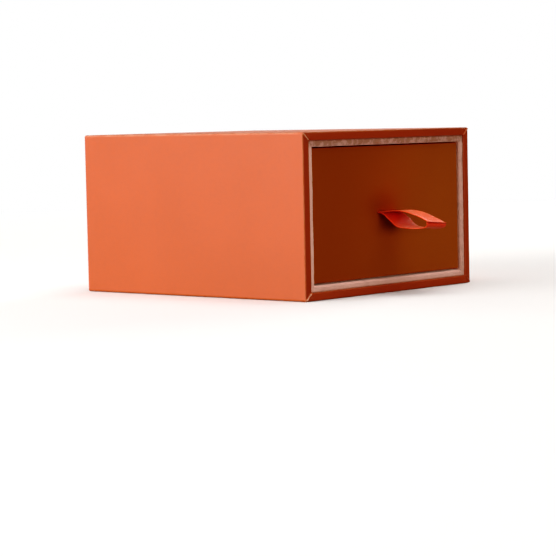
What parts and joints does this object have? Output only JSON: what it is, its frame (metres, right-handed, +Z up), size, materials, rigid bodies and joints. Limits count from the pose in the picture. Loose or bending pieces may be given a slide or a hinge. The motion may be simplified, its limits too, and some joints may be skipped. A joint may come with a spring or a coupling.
{
  "type": "sliding drawer gift box",
  "caption": "Rigid paper-covered gift box: a lined sleeve, open at the front, holds a padded drawer that slides out on a ribbon pull loop.",
  "frame": {"origin": "centre of the sleeve's underside", "axes": "+Z up, -Y out of the open front, the way the drawer slides, +X to the right as seen from the front"},
  "size_m": [0.079, 0.1064, 0.048],
  "materials": {
    "orange_paper": "satin",
    "burnt_orange_paper": "matte",
    "pink_lining_paper": "matte",
    "greyboard": "matte",
    "lining_card": "matte",
    "kraft_paper": "matte",
    "red_ribbon": "satin",
    "foam": "matte",
    "pink_velvet": "matte"
  },
  "bodies": {
    "sleeve": {"sleeve_top_board": "greyboard", "sleeve_bottom_board": "greyboard", "sleeve_left_board": "greyboard", "sleeve_right_board": "greyboard", "sleeve_back_board": "greyboard", "sleeve_corner_stays": "kraft_paper", "sleeve_wrap_paper": "orange_paper", "sleeve_back_paper": "orange_paper", "liner_top_card": "lining_card", "liner_bottom_card": "lining_card", "liner_left_card": "lining_card", "liner_right_card": "lining_card", "liner_paper_pink": "pink_lining_paper", "back_lining_paper": "pink_lining_paper"},
    "drawer": {"tray_bottom_board": "greyboard", "tray_front_board": "greyboard", "tray_back_board": "greyboard", "tray_left_board": "greyboard", "tray_right_board": "greyboard", "tray_corner_stays": "kraft_paper", "tray_wrap_paper": "burnt_orange_paper", "tray_base_paper": "burnt_orange_paper", "tray_wall_lining": "pink_lining_paper", "tray_floor_lining": "pink_lining_paper", "ribbon_anchor_patch": "kraft_paper", "pull_ribbon": "red_ribbon", "foam_insert": "foam", "insert_cover": "pink_velvet"}
  },
  "joints": [
    {"name": "drawer_slide", "type": "slide", "parent": "sleeve", "child": "drawer", "axis": [0, -1, 0], "range_m": [0, 0.085]}
  ]
}
